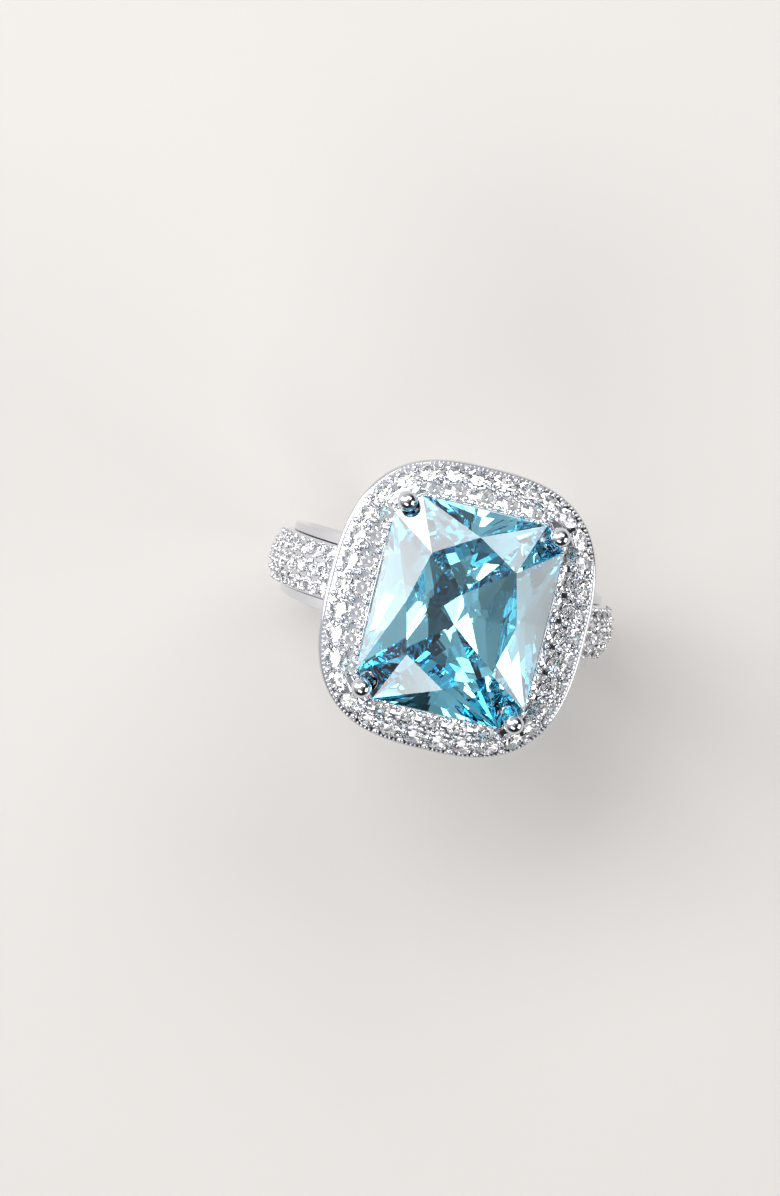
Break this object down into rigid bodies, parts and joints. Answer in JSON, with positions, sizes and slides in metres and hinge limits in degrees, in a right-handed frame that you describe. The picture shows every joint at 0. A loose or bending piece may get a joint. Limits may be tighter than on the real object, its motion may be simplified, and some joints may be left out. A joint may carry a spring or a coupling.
{
  "type": "cocktail ring",
  "caption": "Finger ring with a large blue cut-corner centre stone in four ball-tipped claws, a domed double halo of small white stones and paved shoulders.",
  "frame": {"origin": "centre of the finger hole", "axes": "+Z out of the table of the centre stone, Y along the finger, X across the band"},
  "size_m": [0.021, 0.0168, 0.0254],
  "materials": {
    "polished_metal": "rhodium-plated silver, mirror polished",
    "blue_stone": "aqua-blue cut stone, polished facets",
    "white_stone": "colourless cut stones, polished facets"
  },
  "bodies": {
    "root": {"shank": "polished_metal", "shoulder_plate_left": "polished_metal", "shoulder_plate_right": "polished_metal", "base_rail": "polished_metal", "gallery_wire": "polished_metal", "stone_seat": "polished_metal", "halo_plate": "polished_metal", "halo_rim": "polished_metal", "claw_back_left": "polished_metal", "claw_back_right": "polished_metal", "claw_front_left": "polished_metal", "claw_front_right": "polished_metal", "centre_stone": "blue_stone", "halo_stone_01": "white_stone", "halo_stone_02": "white_stone", "halo_stone_03": "white_stone", "halo_stone_04": "white_stone", "halo_stone_05": "white_stone", "halo_stone_06": "white_stone", "halo_stone_07": "white_stone", "halo_stone_08": "white_stone", "halo_stone_09": "white_stone", "halo_stone_10": "white_stone", "halo_stone_11": "white_stone", "halo_stone_12": "white_stone", "halo_stone_13": "white_stone", "halo_stone_14": "white_stone", "halo_stone_15": "white_stone", "halo_stone_16": "white_stone", "halo_stone_17": "white_stone", "halo_stone_18": "white_stone", "halo_stone_19": "white_stone", "halo_stone_20": "white_stone", "halo_stone_21": "white_stone", "halo_stone_22": "white_stone", "halo_stone_23": "white_stone", "halo_stone_24": "white_stone", "halo_outer_stone_row": "white_stone", "shoulder_stone_left_1": "white_stone", "shoulder_stone_left_2": "white_stone", "shoulder_stone_left_3": "white_stone", "shoulder_stone_left_4": "white_stone", "shoulder_stone_left_5": "white_stone", "shoulder_stone_left_6": "white_stone", "shoulder_stone_left_7": "white_stone", "shoulder_stone_left_8": "white_stone", "shoulder_stone_left_9": "white_stone", "shoulder_stone_right_1": "white_stone", "shoulder_stone_right_2": "white_stone", "shoulder_stone_right_3": "white_stone", "shoulder_stone_right_4": "white_stone", "shoulder_stone_right_5": "white_stone", "shoulder_stone_right_6": "white_stone", "shoulder_stone_right_7": "white_stone", "shoulder_stone_right_8": "white_stone", "shoulder_stone_right_9": "white_stone", "shoulder_stone_row_left_back": "white_stone", "shoulder_stone_row_left_front": "white_stone", "shoulder_stone_row_right_back": "white_stone", "shoulder_stone_row_right_front": "white_stone"}
  },
  "joints": []
}
